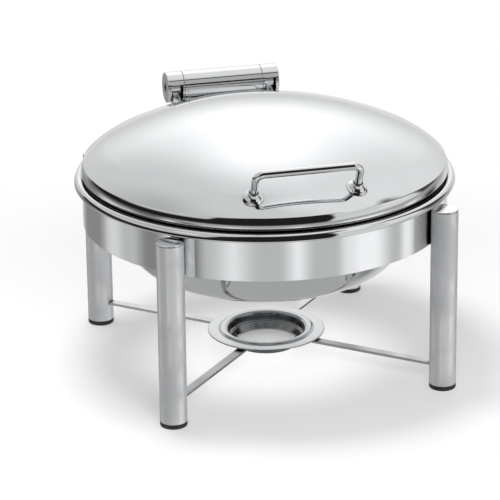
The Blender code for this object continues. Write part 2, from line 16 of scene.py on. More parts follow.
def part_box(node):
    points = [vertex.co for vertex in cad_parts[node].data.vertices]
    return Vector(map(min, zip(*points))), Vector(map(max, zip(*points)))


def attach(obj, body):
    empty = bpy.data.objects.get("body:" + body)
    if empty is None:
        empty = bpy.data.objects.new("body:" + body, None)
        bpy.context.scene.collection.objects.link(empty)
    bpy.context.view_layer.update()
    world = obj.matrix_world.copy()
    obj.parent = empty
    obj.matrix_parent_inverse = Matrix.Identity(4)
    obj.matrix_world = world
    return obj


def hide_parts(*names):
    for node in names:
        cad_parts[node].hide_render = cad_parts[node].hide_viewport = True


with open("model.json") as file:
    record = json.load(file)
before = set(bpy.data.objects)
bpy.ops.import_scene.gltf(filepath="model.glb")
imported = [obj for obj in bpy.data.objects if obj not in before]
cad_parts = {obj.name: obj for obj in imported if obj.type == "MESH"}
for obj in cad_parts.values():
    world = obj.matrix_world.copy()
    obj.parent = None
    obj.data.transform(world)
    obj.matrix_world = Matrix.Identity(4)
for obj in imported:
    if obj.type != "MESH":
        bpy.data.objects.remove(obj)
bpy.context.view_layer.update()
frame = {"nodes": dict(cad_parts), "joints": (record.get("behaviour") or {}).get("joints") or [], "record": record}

# Facets round each kind of piece, and steps along its roundings. All are multiples of six, so that
# a hexagonal socket has its corners on them.
ROUND_PAN = 192
ROUND_HOLDER = 120
ROUND_TUBE = 72
ROUND_SMALL = 48
FILLET_STEPS = 5

GAP = 0.0003
STEEL = 0.0010

# The lid's skirt, the fold over it and the shoulder, and the rim's turned-in edge, its sloping
# face and its rounded top: the radius of each arc, and the elevation where it ends, in degrees.
LID_START = 5.0
LID_ARCS = ((0.0320, 23.7), (0.0025, 46.0), (0.1030, 64.0))
RIM_START = -75.0
RIM_ARCS = ((0.0016, 11.0), (0.0160, 27.0), (0.0048, 90.0))
DEGREES_A_STEP = 1.6
HEM = 0.0015
HEM_WIDTH = 0.0078

WATER_CORNER = 0.0500
WATER_CORNER_R = 0.1155
WATER_WALL_TILT = 25.0
FOOD_SHEET = 0.0008
FOOD_MOUTH = 0.0180         # from the food pan's rolled edge in to its wall
FOOD_BEAD = 0.0016
FOOD_CORNER = 0.0220
FOOD_WALL_TILT = 20.0
PAN_LIP = 0.0030

HANDLE_ROD = 0.0044
HANDLE_BEND = 0.0090
HANDLE_TILT = 26.0
HANDLE_BASE = 0.0116
HANDLE_BASE_HEIGHT = 0.0085
SCREW_HOLE = 0.0023

HINGE_WALL = 0.0035
KNUCKLE_POCKET = 0.0061
KNUCKLE_POCKET_DEPTH = 0.0028
WINDOW_INNER = 0.0510
WINDOW_OUTER = 0.0652
WALL_START = -88.5          # the cup's wall beside the window, in degrees from the rear towards up
WALL_TURN = 246.5
LUG_FALL = 38.0
PAD_INNER = 0.1780
PAD_OUTER = 0.2050
PAD_RISE = 0.0030
PAD_HALF_ANGLE = 3.6

# The camera of the photograph. It faces a point on the pan's axis, and its lens is shifted.
CAMERA_AZIMUTH = -14.36
CAMERA_ELEVATION = 19.87
CAMERA_ROLL = -0.58
CAMERA_DISTANCE = 3.0485
CAMERA_LENS = 188.84
CAMERA_SHIFT = (-0.0300, -0.0800)
AIM_HEIGHT = 0.180

body_of = {node: body for body, nodes in frame["record"]["behaviour"]["bodies"].items() for node in nodes}
CORNERS = ("front_left", "front_right", "rear_right", "rear_left")
SIDES = {"left": -1, "right": 1}


# Measuring the CAD nodes

def middle(node):
    low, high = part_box(node)
    return (low + high) / 2


def distances(node, centre, axis):
    """How far a CAD node's corners are from a line through a point along a world axis."""
    across = [i for i in range(3) if i != "XYZ".index(axis)]
    corners = [v.co for v in frame["nodes"][node].data.vertices]
    return [math.hypot(c[across[0]] - centre[across[0]], c[across[1]] - centre[across[1]]) for c in corners]


def outer_radius(node, centre, axis="Z"):
    return max(distances(node, centre, axis))


def inner_radius(node, centre, axis="Z"):
    return min(distances(node, centre, axis))


pan_axis = Vector((0.0, middle("water_pan").y, 0.0))
hinge_axis = Vector(next(j for j in frame["joints"] if j["name"] == "lid_hinge")["pos_m"])
lid_radius = outer_radius("lid_shell", pan_axis)
lid_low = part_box("lid_shell")[0].z
rim_radius = outer_radius("water_pan", pan_axis)
rim_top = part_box("water_pan")[1].z


# Outlines, as lists of (distance from the axis, height along it)

def arc(centre, radius, start, end, steps):
    """Points on an arc, with angles in degrees from the outward direction towards up."""
    angles = [math.radians(start + (end - start) * i / steps) for i in range(steps + 1)]
    return [(centre[0] + radius * math.cos(a), centre[1] + radius * math.sin(a)) for a in angles]


def rounded(corners, steps=FILLET_STEPS):
    """A closed outline through corners given as (distance, height) or (distance, height, radius)."""
    points = [Vector(c[:2]) for c in corners]
    outline = []
    for i, corner in enumerate(corners):
        radius = corner[2] if len(corner) > 2 else 0.0
        if radius == 0.0:
            outline.append(tuple(points[i]))
            continue
        before = (points[i - 1] - points[i]).normalized()
        after = (points[(i + 1) % len(points)] - points[i]).normalized()
        half = before.angle(after) / 2
        reach = radius / math.tan(half)
        centre = points[i] + (before + after).normalized() * radius / math.sin(half)
        start, end = points[i] + before * reach - centre, points[i] + after * reach - centre
        turn = start.angle_signed(end)
        for k in range(steps + 1):
            angle = -turn * k / steps
            outline.append(tuple(centre + Matrix.Rotation(angle, 2) @ start))
    return outline


def sheet(face, thickness):
    """A closed outline: the given face, and a parallel face to the right of its direction."""
    points = [Vector(p) for p in face]
    ways = [(b - a).normalized() for a, b in zip(points, points[1:])]
    back = []
    for i, point in enumerate(points):
        before, after = ways[max(i - 1, 0)], ways[min(i, len(ways) - 1)]
        right = Vector((before.y + after.y, -before.x - after.x)).normalized()
        moved = point + right * thickness / right.dot(Vector((after.y, -after.x)))
        back.append((0.0 if point.x < 1e-6 else moved.x, moved.y))
    return list(face) + back[::-1]


def tangent_arcs(centre, start, arcs):
    """Arcs that run smoothly one into the next, as (centre, radius, start, end)."""
    chain = []
    for radius, end in arcs:
        if chain:
            turn = math.radians(start)
            centre = centre + (chain[-1][1] - radius) * Vector((math.cos(turn), math.sin(turn)))
        chain.append((centre, radius, start, end))
        start = end
    return chain


def face_of(chain, lift=0.0):
    """Points along tangent arcs from the last to the first, this far outside them."""
    face = []
    for centre, radius, start, end in chain:
        steps = max(5, round((end - start) / DEGREES_A_STEP))
        face = face[:-1] + arc(centre, radius + lift, start, end, steps)
    return face[::-1]


def dome_arcs():
    """The dome's arcs from its lower edge to its crown."""
    slope = math.radians(LID_START)
    first = LID_ARCS[0][0]
    foot = Vector((lid_radius - first * math.cos(slope), lid_low + HEM - (first - HEM) * math.sin(slope)))
    chain = tangent_arcs(foot, LID_START, LID_ARCS)
    centre, radius, _, end = chain[-1]
    outward = Vector((math.cos(math.radians(end)), math.sin(math.radians(end))))
    crown = radius + centre.x / outward.x
    return chain + [(centre + (radius - crown) * outward, crown, end, 90.0)]


def dome_face():
    """The dome's outer face from its crown down to its lower edge."""
    face = face_of(dome_arcs())
    return [(0.0, face[0][1])] + face[1:]


def rim_arcs():
    """The arcs of the water pan's rim, from its turned-in edge to its top."""
    chain = tangent_arcs(Vector((rim_radius - RIM_ARCS[0][0], 0.0)), RIM_START, RIM_ARCS)
    rise = Vector((0.0, rim_top - chain[-1][0].y - chain[-1][1]))
    return [(centre + rise, radius, start, end) for centre, radius, start, end in chain]


def dome_height(radius):
    """Height of the dome's outer face at a distance from the pan's axis."""
    for centre, size, _, end in dome_arcs():
        reach = radius - centre.x
        if reach >= size * math.cos(math.radians(end)) - 1e-9:
            return centre.y + math.sqrt(max(size ** 2 - reach ** 2, 0.0))
    raise ValueError("that point is off the dome")


def rim_height(radius, lift):
    """Height of the face parallel to the rim's at a distance from the pan's axis."""
    face = face_of(rim_arcs(), lift)
    for (near, above), (far, below) in zip(face, face[1:]):
        if near <= radius <= far:
            return above + (below - above) * (radius - near) / (far - near)
    return rim_top + lift if radius < face[0][0] else 0.0


def onto_dome(point, direction, lift=0.0):
    """The point where a line crosses the dome, or the face parallel to it at this lift."""
    near, far = -0.05, 0.05
    for _ in range(40):
        half = (near + far) / 2
        spot = point + direction * half
        radius = math.hypot(spot.x - pan_axis.x, spot.y - pan_axis.y)
        above = spot.z - lift > dome_height(min(radius, lid_radius))
        near, far = (near, half) if above == (direction.z > 0) else (half, far)
    return point + direction * near


# Meshes

def finish_mesh(name, bm, bevel=0.0):
    """A smooth object of the mesh, with its hard edges kept and rounded by the bevel."""
    bmesh.ops.recalc_face_normals(bm, faces=bm.faces)
    mesh = bpy.data.meshes.new(name)
    bm.to_mesh(mesh)
    bm.free()
    mesh.shade_smooth()
    mesh.set_sharp_from_angle(angle=math.radians(32))
    piece = bpy.data.objects.new(name, mesh)
    bpy.context.scene.collection.objects.link(piece)
    if bevel:
        edges = piece.modifiers.new("edges", "BEVEL")
        edges.width = bevel
        edges.segments = 3
        edges.limit_method = "ANGLE"
        edges.angle_limit = math.radians(32)
        edges.harden_normals = True
    normals = piece.modifiers.new("normals", "WEIGHTED_NORMAL")
    normals.keep_sharp = True
    return piece


def polygon_reach(angle, sides):
    """How far a regular polygon with unit corners reaches in a direction."""
    wedge = math.tau / sides
    return math.cos(wedge / 2) / math.cos(angle % wedge - wedge / 2)


def revolve_into(bm, outline, facets, place):
    """Adds a closed solid of revolution about Z to the mesh, then moves it by the matrix.

    A third value in the outline makes that ring a regular polygon of so many sides.
    """
    rings = []
    for radius, height, *sides in outline:
        if radius < 1e-7:
            rings.append([bm.verts.new(place @ Vector((0.0, 0.0, height)))])
            continue
        ring = []
        for k in range(facets):
            angle = math.tau * k / facets
            reach = radius * (polygon_reach(angle, sides[0]) if sides else 1.0)
            spot = Vector((reach * math.cos(angle), reach * math.sin(angle), height))
            ring.append(bm.verts.new(place @ spot))
        rings.append(ring)
    for ring, following in zip(rings, rings[1:] + rings[:1]):
        if len(ring) == 1 and len(following) == 1:
            continue
        for k in range(facets):
            after = (k + 1) % facets
            corners = (ring[k % len(ring)], ring[after % len(ring)],
                       following[after % len(following)], following[k % len(following)])
            bm.faces.new(list(dict.fromkeys(corners)))


def revolve(name, outline, facets, centre, turn=Matrix.Identity(4)):
    bm = bmesh.new()
    revolve_into(bm, outline, facets, Matrix.Translation(centre) @ turn)
    return finish_mesh(name, bm)


def loft_into(bm, sections):
    """Adds a skin over closed loops of points, with both ends closed, to the mesh."""
    rings = [[bm.verts.new(point) for point in section] for section in sections]
    for ring, following in zip(rings, rings[1:]):
        for k, corner in enumerate(ring):
            after = (k + 1) % len(ring)
            bm.faces.new((corner, ring[after], following[after], following[k]))
    bm.faces.new(rings[0])
    bm.faces.new(rings[-1])


def loft(name, sections, bevel=0.0):
    bm = bmesh.new()
    loft_into(bm, sections)
    return finish_mesh(name, bm, bevel)


def circle_sections(path, radii, across, facets):
    """Round sections along a path that lies in the plane normal to the direction across."""
    sections = []
    for i, (point, radius) in enumerate(zip(path, radii)):
        along = (path[min(i + 1, len(path) - 1)] - path[max(i - 1, 0)]).normalized()
        side = along.cross(across)
        turns = [math.tau * k / facets for k in range(facets)]
        sections.append([point + (across * math.cos(t) + side * math.sin(t)) * radius for t in turns])
    return sections


def stand_for(piece, node, material):
    """Gives a piece its material, and puts it on its CAD node's body in that node's place."""
    piece.data.materials.append(material)
    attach(piece, body_of[node])
    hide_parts(node)
    return piece


# Materials

def add(tree, kind, inputs=(), **settings):
    """A shader node with its settings, and with its inputs set to values or linked to outputs."""
    node = tree.nodes.new("ShaderNode" + kind)
    for key, value in settings.items():
        setattr(node, key, value)
    for key, value in dict(inputs).items():
        if isinstance(value, bpy.types.NodeSocket):
            tree.links.new(value, node.inputs[key])
        else:
            node.inputs[key].default_value = value
    return node


def maths(tree, operation, *values):
    return add(tree, "Math", enumerate(values), operation=operation).outputs[0]


def spread(tree, value, low, high, new_low, new_high):
    """Maps a value smoothly from one range to another, and holds it at both ends."""
    inputs = {"Value": value, "From Min": low, "From Max": high, "To Min": new_low, "To Max": new_high}
    return add(tree, "MapRange", inputs, interpolation_type="SMOOTHSTEP").outputs[0]


def blend_in(tree, share, below, above):
    inputs = {"Factor": share, "A": below, "B": above}
    return add(tree, "Mix", inputs, data_type="FLOAT").outputs["Result"]


def blend_colour(tree, share, below, above):
    inputs = {"Factor": share, "A": below, "B": above}
    return add(tree, "Mix", inputs, data_type="RGBA").outputs[2]


def new_material(name):
    material = bpy.data.materials.new(name)
    material.use_nodes = True
    return material, material.node_tree, material.node_tree.nodes["Principled BSDF"]


def round_place(tree, centre):
    """Coordinates round an upright axis: angle, distance from it, and height."""
    spot = add(tree, "TexCoord").outputs["Object"]
    parts = add(tree, "SeparateXYZ", {"Vector": spot})
    x = maths(tree, "SUBTRACT", parts.outputs["X"], centre.x)
    y = maths(tree, "SUBTRACT", parts.outputs["Y"], centre.y)
    angle = maths(tree, "ARCTAN2", y, x)
    squares = maths(tree, "ADD", maths(tree, "MULTIPLY", x, x), maths(tree, "MULTIPLY", y, y))
    distance = maths(tree, "SQRT", squares)
    inputs = {"X": angle, "Y": distance, "Z": parts.outputs["Z"]}
    return add(tree, "CombineXYZ", inputs).outputs["Vector"]


def steel(name, tint, roughness, grain, scratches, waves, centre=None, shade_reach=0.007):
    """Polished or satin stainless steel.

    The fine scratches are noise stretched by the grain, which is small along the scratches. With a
    centre, they run round that upright axis. The waves are the slight unevenness of pressed sheet.
    Painted shade darkens the steel's colour in narrow gaps, out to the given reach.
    """
    material, tree, shader = new_material(name)
    plain = add(tree, "TexCoord").outputs["Object"]
    spot = round_place(tree, centre) if centre else plain
    along = add(tree, "Mapping", {"Vector": spot, "Scale": grain}).outputs["Vector"]
    fine = add(tree, "TexNoise", {"Vector": along, "Scale": 1.0, "Detail": 3.0}).outputs[0]
    cloudy = add(tree, "TexNoise", {"Vector": plain, "Scale": 22.0, "Detail": 4.0}).outputs[0]
    slow = add(tree, "TexNoise", {"Vector": plain, "Scale": 9.0, "Detail": 1.0}).outputs[0]

    haze = spread(tree, cloudy, 0.35, 0.70, roughness * 0.75, roughness * 1.35)
    rough = maths(tree, "MULTIPLY", haze, spread(tree, fine, 0.30, 0.70, 0.85, 1.15))
    tree.links.new(rough, shader.inputs["Roughness"])

    light = [min(1.0, channel * 1.03) for channel in tint]
    dark = [channel * 0.96 for channel in tint]
    colour = blend_colour(tree, cloudy, (*dark, 1.0), (*light, 1.0))
    # Painted shade: by ambient occlusion, the colour fades to near black in narrow gaps.
    openness = add(tree, "AmbientOcclusion", {"Distance": shade_reach}, samples=6).outputs["AO"]
    unshaded_share = spread(tree, openness, 0.35, 0.85, 0.0, 1.0)
    gap_shade_colour = [channel * 0.06 for channel in tint]
    tree.links.new(blend_colour(tree, unshaded_share, (*gap_shade_colour, 1.0), colour), shader.inputs["Base Color"])
    shader.inputs["Metallic"].default_value = 1.0

    uneven = add(tree, "Bump", {"Height": slow, "Strength": 1.0, "Distance": waves}).outputs["Normal"]
    scored = add(tree, "Bump", {"Height": fine, "Strength": 1.0, "Distance": scratches, "Normal": uneven})
    tree.links.new(scored.outputs["Normal"], shader.inputs["Normal"])
    return material


# Colours of the fuel holder's recess: painted shade on its wall, and its pale floor.
RECESS_WALL_SHADE = (0.22, 0.225, 0.23, 1.0)
RECESS_FLOOR = (0.80, 0.81, 0.82, 1.0)
RECESS_FLOOR_ROUGHNESS = 0.6
RECESS_FLOOR_GLOW = 0.28
HINGE_INSIDE_SHADE = (0.06, 0.06, 0.06, 1.0)


def finish_recess(material):
    """Gives the fuel holder's recess a wall painted dark as shade, and a pale, dull floor that glows a little.

    The glow is not real: it stands in for light that the floor of the recess would get in a studio.
    """
    tree = material.node_tree
    shader = tree.nodes["Principled BSDF"]
    distance = add(tree, "SeparateXYZ", {"Vector": round_place(tree, pan_axis)}).outputs["Y"]
    facing = add(tree, "SeparateXYZ", {"Vector": add(tree, "NewGeometry").outputs["True Normal"]})
    # Painted shade: where the recess's wall faces sideways, its colour turns dark.
    wall = maths(tree, "MULTIPLY", spread(tree, distance, 0.0450, 0.0458, 1.0, 0.0),
                 spread(tree, facing.outputs["Z"], 0.45, 0.75, 1.0, 0.0))
    floor = spread(tree, distance, 0.0350, 0.0365, 1.0, 0.0)
    old = shader.inputs["Base Color"].links[0].from_socket
    wall_shaded = blend_colour(tree, wall, old, RECESS_WALL_SHADE)
    tree.links.new(blend_colour(tree, floor, wall_shaded, RECESS_FLOOR), shader.inputs["Base Color"])
    old = shader.inputs["Roughness"].links[0].from_socket
    tree.links.new(blend_in(tree, floor, old, RECESS_FLOOR_ROUGHNESS), shader.inputs["Roughness"])
    shader.inputs["Emission Color"].default_value = (1.0, 1.0, 1.0, 1.0)
    painted_glow = maths(tree, "MULTIPLY", floor, RECESS_FLOOR_GLOW)
    tree.links.new(painted_glow, shader.inputs["Emission Strength"])


def paint_shade_inside(material):
    """Paints shade inside the hinge's cups: their colour turns dark."""
    tree = material.node_tree
    shader = tree.nodes["Principled BSDF"]
    spot = add(tree, "TexCoord").outputs["Object"]
    offset = add(tree, "VectorMath", {0: spot, 1: hinge_axis}, operation="SUBTRACT").outputs["Vector"]
    around = add(tree, "VectorMath", {0: offset, 1: (0.0, 1.0, 1.0)}, operation="MULTIPLY").outputs["Vector"]
    distance = add(tree, "VectorMath", {0: around}, operation="LENGTH").outputs["Value"]
    along = maths(tree, "ABSOLUTE", add(tree, "SeparateXYZ", {"Vector": spot}).outputs["X"])
    # Painted shade: inside the cups, out to the windows' outer edge, the colour turns near black.
    inside_shade = maths(tree, "MULTIPLY", spread(tree, distance, 0.0155, 0.0160, 1.0, 0.0),
                   spread(tree, along, WINDOW_OUTER + 0.0005, WINDOW_OUTER + 0.0010, 1.0, 0.0))
    old = shader.inputs["Base Color"].links[0].from_socket
    tree.links.new(blend_colour(tree, inside_shade, old, HINGE_INSIDE_SHADE), shader.inputs["Base Color"])


def moulded(name, colour, roughness, grain_size, relief, dust):
    """Rubber or plastic from a mould: a fine grain, and a little pale dust in patches."""
    material, tree, shader = new_material(name)
    spot = add(tree, "TexCoord").outputs["Object"]
    grain = add(tree, "TexNoise", {"Vector": spot, "Scale": 1 / grain_size, "Detail": 4.0}).outputs[0]
    patches = add(tree, "TexNoise", {"Vector": spot, "Scale": 90.0, "Detail": 3.0}).outputs[0]
    share = maths(tree, "MULTIPLY", spread(tree, patches, 0.45, 0.75, 0.0, 1.0), dust)
    pale = [channel * 0.5 + 0.12 for channel in colour]
    mixed = blend_colour(tree, share, (*colour, 1.0), (*pale, 1.0))
    tree.links.new(mixed, shader.inputs["Base Color"])
    rough = spread(tree, grain, 0.3, 0.7, roughness * 0.85, min(1.0, roughness * 1.15))
    tree.links.new(rough, shader.inputs["Roughness"])
    bump = add(tree, "Bump", {"Height": grain, "Strength": 1.0, "Distance": relief}).outputs["Normal"]
    tree.links.new(bump, shader.inputs["Normal"])
    return material


POLISHED_TINT = (0.870, 0.880, 0.890)
SATIN_TINT = (0.760, 0.770, 0.780)
DISH_TINT = (0.580, 0.590, 0.600)
BAR_TINT = (0.600, 0.610, 0.620)
HINGE_SCREW_TINT = (0.160, 0.165, 0.170)
LEG_TINT = (0.930, 0.940, 0.950)

spun_mirror = steel("spun_mirror_steel",
                    POLISHED_TINT, 0.045, (3.0, 2600.0, 2600.0), 2e-7, 3e-5, pan_axis)
drawn_mirror = steel("drawn_mirror_steel",
                     LEG_TINT, 0.550, (3000.0, 3000.0, 60.0), 2e-8, 0.0, None, 0.004)
band_mirror = steel("band_mirror_steel",
                    POLISHED_TINT, 0.070, (4.0, 900.0, 900.0), 2e-7, 1e-5, pan_axis, 0.003)
bar_mirror = steel("bar_mirror_steel", BAR_TINT, 0.300, (900.0, 900.0, 900.0), 6e-7, 1e-5)
barrel_mirror = steel("barrel_mirror_steel", POLISHED_TINT, 0.100, (50.0, 2400.0, 2400.0), 3e-7, 1e-5)
knuckle_mirror = steel("knuckle_mirror_steel", POLISHED_TINT, 0.090, (50.0, 2400.0, 2400.0), 3e-7, 0.0)
handle_mirror = steel("handle_mirror_steel", POLISHED_TINT, 0.060, (2400.0, 2400.0, 2400.0), 3e-7, 0.0)
dish_satin = steel("dish_satin_steel",
                   DISH_TINT, 0.170, (4.0, 900.0, 900.0), 3e-7, 2e-5, pan_axis, 0.016)
spun_satin = steel("spun_satin_steel", SATIN_TINT, 0.240, (4.0, 2200.0, 2200.0), 2e-6, 3e-5, pan_axis)
screw_satin = steel("screw_satin_steel", SATIN_TINT, 0.280, (1500.0, 1500.0, 1500.0), 2e-6, 0.0)
lug_mirror = steel("lug_mirror_steel",
                   POLISHED_TINT, 0.120, (50.0, 2400.0, 2400.0), 3e-7, 0.0, None, 0.0015)
hinge_screw_dark = steel("hinge_screw_steel",
                         HINGE_SCREW_TINT, 0.280, (1500.0, 1500.0, 1500.0), 2e-6, 0.0)
finish_recess(dish_satin)
paint_shade_inside(knuckle_mirror)
foot_rubber = moulded("foot_rubber", (0.012, 0.012, 0.013), 0.55, 0.0008, 3e-5, 0.25)
bush_polymer = moulded("bush_polymer", (0.10, 0.10, 0.11), 0.45, 0.0005, 1e-5, 0.10)
washer_silicone = moulded("washer_silicone", (0.60, 0.60, 0.58), 0.60, 0.0006, 1e-5, 0.30)


# The stand

def make_hoop():
    low, high = (corner.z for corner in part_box("frame_hoop"))
    outer = outer_radius("frame_hoop", pan_axis)
    inner = outer - 0.0015
    edge = 0.0005
    outline = rounded([(inner, low, edge), (outer, low, edge), (outer, high, edge), (inner, high, edge)])
    stand_for(revolve("frame_hoop_fine", outline, ROUND_PAN, pan_axis), "frame_hoop", band_mirror)


def make_leg(corner):
    """A leg tube with its cap and its rubber foot."""
    centre = middle("foot_" + corner)
    radius = outer_radius("foot_" + corner, centre)
    centre = Vector((centre.x, centre.y, 0.0))
    bore = radius - 0.0012

    low, high = (end.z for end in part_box("leg_" + corner))
    edge = 0.0003
    outline = rounded([(bore, low, edge), (radius, low, edge), (radius, high, edge), (bore, high, edge)])
    tube = revolve("leg_fine_" + corner, outline, ROUND_TUBE, centre)
    stand_for(tube, "leg_" + corner, drawn_mirror)

    low, high = (end.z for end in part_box("leg_cap_" + corner))
    plug = bore - GAP
    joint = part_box("leg_" + corner)[1].z + GAP
    outline = rounded([(0.0, low), (plug, low, 0.0005), (plug, joint), (radius, joint, 0.0003),
                       (radius, high, 0.0010), (0.0, high)])
    cap = revolve("leg_cap_fine_" + corner, outline, ROUND_TUBE, centre)
    stand_for(cap, "leg_cap_" + corner, handle_mirror)

    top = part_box("foot_" + corner)[1].z
    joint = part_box("leg_" + corner)[0].z - GAP
    groove = 0.0006
    treads = []
    for ring in (0.0045, 0.0080):
        far = ring + 0.0012
        treads += [(ring, 0.0, 0.0002), (ring, groove), (far, groove), (far, 0.0, 0.0002)]
    outline = rounded([(0.0, 0.0)] + treads + [(radius, 0.0, 0.0018), (radius, joint, 0.0005), (plug, joint),
                      (plug, top, 0.0012), (0.0, top)])
    foot = revolve("foot_fine_" + corner, outline, ROUND_TUBE, centre)
    stand_for(foot, "foot_" + corner, foot_rubber)


def make_leg_screw(corner):
    """A domed socket screw through the hoop into its leg."""
    centre = middle("leg_screw_" + corner)
    outward = Vector((centre.x, centre.y - pan_axis.y, 0.0)).normalized()
    turn = outward.to_track_quat("Z", "X").to_matrix().to_4x4()
    corners = frame["nodes"]["leg_screw_" + corner].data.vertices
    ends = [(Vector(v.co) - centre).dot(outward) for v in corners]
    top, tip = min(ends), max(ends)
    head, shank, hex_size, depth = 0.0050, 0.0029, 0.0022, 0.0016
    outline = rounded([(0.0, tip), (shank, tip, 0.0005), (shank, top + 0.0026), (head, top + 0.0026, 0.0004),
                       (head, top, 0.0016), (hex_size + 0.0004, top)])
    outline += [(hex_size, top, 6), (hex_size, top + depth, 6), (0.0, top + depth)]
    screw = revolve("leg_screw_fine_" + corner, outline, ROUND_SMALL, centre, turn)
    stand_for(screw, "leg_screw_" + corner, screw_satin)


def make_brace(corner):
    """A flat bar from the leg to the ring, with its outer end hollowed to fit the leg."""
    leg = middle("foot_" + corner)
    radius = outer_radius("foot_" + corner, leg) + GAP
    low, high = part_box("brace_bar_" + corner)
    outward = Vector((leg.x, leg.y - pan_axis.y, 0.0)).normalized()
    side = Vector((-outward.y, outward.x, 0.0))
    width = 0.0110
    start = min(distances("brace_bar_" + corner, pan_axis, "Z"))
    start = math.sqrt(start ** 2 - (width / 2) ** 2)
    circle = Vector((leg.x, leg.y - pan_axis.y, 0.0)).length
    spread_angle = math.asin(width / 2 / radius)
    plan = [(start, -width / 2), (start, width / 2)]
    for k in range(9):
        angle = math.pi - spread_angle + 2 * spread_angle * k / 8
        plan.append((circle + radius * math.cos(angle), radius * math.sin(angle)))
    sections = [[pan_axis + outward * along + side * across + Vector((0, 0, z)) for along, across in plan]
                for z in (low.z, high.z)]
    bar = loft("brace_bar_fine_" + corner, sections, 0.0005)
    stand_for(bar, "brace_bar_" + corner, bar_mirror)


def make_holder_ring():
    low, high = (corner.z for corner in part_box("holder_ring"))
    inner, outer = inner_radius("holder_ring", pan_axis), outer_radius("holder_ring", pan_axis)
    edge = 0.0004
    outline = rounded([(inner, low, edge), (outer, low, edge), (outer, high, edge), (inner, high, edge)])
    stand_for(revolve("holder_ring_fine", outline, ROUND_HOLDER, pan_axis), "holder_ring", bar_mirror)


def make_fuel_holder():
    """The dish for the fuel tin: a flange, a raised bead, and a recess with a ledge."""
    radius = outer_radius("fuel_holder", pan_axis)
    bead_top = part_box("fuel_holder")[1].z
    bead_height, bead_outer, mouth = 0.0020, 0.0565, 0.0458
    ledge, ledge_depth = 0.0415, 0.0092
    floor_radius, depth = 0.0373, 0.0170
    top = bead_top - bead_height
    half = (bead_outer - mouth) / 2
    swell = (half ** 2 + bead_height ** 2) / (2 * bead_height)
    reach = math.degrees(math.asin(half / swell))
    bead_centre = (mouth + half, bead_top - swell)
    corner = 0.0018
    face = arc((radius - 0.0012, top - 0.0012), 0.0012, 0, 90, 6)
    face += arc(bead_centre, swell, 90 - reach, 90 + reach, 16)
    face += [(mouth - 0.0004, top - 0.0014), (ledge + 0.0030, top - ledge_depth + 0.0022)]
    face += arc((ledge + 0.0012, top - ledge_depth + 0.0018), corner, -15, -85, 5)
    face += arc((ledge + 0.0004, top - ledge_depth - 0.0010), 0.0010, 80, 150, 4)
    face += arc((floor_radius - 0.0012, top - depth + corner), corner, -15, -90, 6) + [(0.0, top - depth)]
    dish = revolve("fuel_holder_fine", sheet(face[::-1], STEEL), ROUND_HOLDER, pan_axis)
    stand_for(dish, "fuel_holder", dish_satin)


# The pans

def pan_wall(mouth, top, tilt, corner, centre_r, bottom):
    """A pan's inner face, from its flange over the lip, down the wall and in to the middle."""
    slope = math.radians(tilt)
    lip = arc((mouth + PAN_LIP * math.cos(slope), top - PAN_LIP), PAN_LIP, 90, 180 - tilt, 8)
    base = arc((centre_r, bottom + corner), corner, -tilt, -90, 24)
    return lip + base + [(centre_r * 0.5, bottom), (0.0, bottom)]


def wall_run(top, tilt, corner, bottom):
    """How far a pan's wall spreads between its corner and its lip."""
    slope = math.radians(tilt)
    lip_z = top - PAN_LIP + PAN_LIP * math.sin(slope)
    foot_z = bottom + corner - corner * math.sin(slope)
    return (lip_z - foot_z) * math.tan(slope)


def make_water_pan():
    low, high = (corner.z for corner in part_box("water_pan"))
    corner = WATER_CORNER - STEEL
    base = low + STEEL
    mouth = (WATER_CORNER_R + corner * math.cos(math.radians(WATER_WALL_TILT))
             + wall_run(high, WATER_WALL_TILT, corner, base))
    face = face_of(rim_arcs())[::-1] + pan_wall(mouth, high, WATER_WALL_TILT, corner, WATER_CORNER_R, base)
    pan = revolve("water_pan_fine", sheet(face[::-1], STEEL), ROUND_PAN, pan_axis)
    stand_for(pan, "water_pan", spun_mirror)


def make_food_pan():
    low, high = (corner.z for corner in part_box("food_pan"))
    radius = outer_radius("food_pan", pan_axis)
    corner = FOOD_CORNER - FOOD_SHEET
    base = low + FOOD_SHEET
    mouth = radius - FOOD_MOUTH
    foot_r = mouth - wall_run(high, FOOD_WALL_TILT, corner, base)
    centre_r = foot_r - corner * math.cos(math.radians(FOOD_WALL_TILT))
    face = arc((radius - FOOD_BEAD, high - FOOD_BEAD), FOOD_BEAD, -90, 90, 14)
    face += pan_wall(mouth, high, FOOD_WALL_TILT, corner, centre_r, base)
    pan = revolve("food_pan_fine", sheet(face[::-1], FOOD_SHEET), ROUND_PAN, pan_axis)
    stand_for(pan, "food_pan", spun_satin)


# The hinge's fixed half

def make_hinge_mount():
    """The neck on the rear of the rim, hollowed above to fit the barrel and below to fit the rim."""
    inner, outer = inner_radius("hinge_mount", pan_axis), outer_radius("hinge_mount", pan_axis)
    barrel = outer_radius("hinge_barrel", hinge_axis, "X") + GAP
    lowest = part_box("hinge_mount")[0].z
    half_angle = math.asin(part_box("hinge_mount")[1].x / outer)
    radii = [inner + (outer - inner) * k / 8 for k in range(9)]
    sections = []
    for i in range(25):
        bearing = math.pi / 2 - half_angle + 2 * half_angle * i / 24
        under = [max(rim_height(r, GAP), lowest) for r in radii]
        spots = [pan_axis + Vector((r * math.cos(bearing), r * math.sin(bearing), 0.0)) for r in radii]
        over = [hinge_axis.z - math.sqrt(max(barrel ** 2 - (s.y - hinge_axis.y) ** 2, 0.0)) for s in spots]
        loop = [s + Vector((0, 0, z)) for s, z in zip(spots, under)]
        loop += [s + Vector((0, 0, z)) for s, z in zip(spots[::-1], over[::-1])]
        sections.append(loop)
    mount = loft("hinge_mount_fine", sections, 0.0004)
    stand_for(mount, "hinge_mount", spun_mirror)


ALONG_X = Matrix.Rotation(math.pi / 2, 4, "Y")


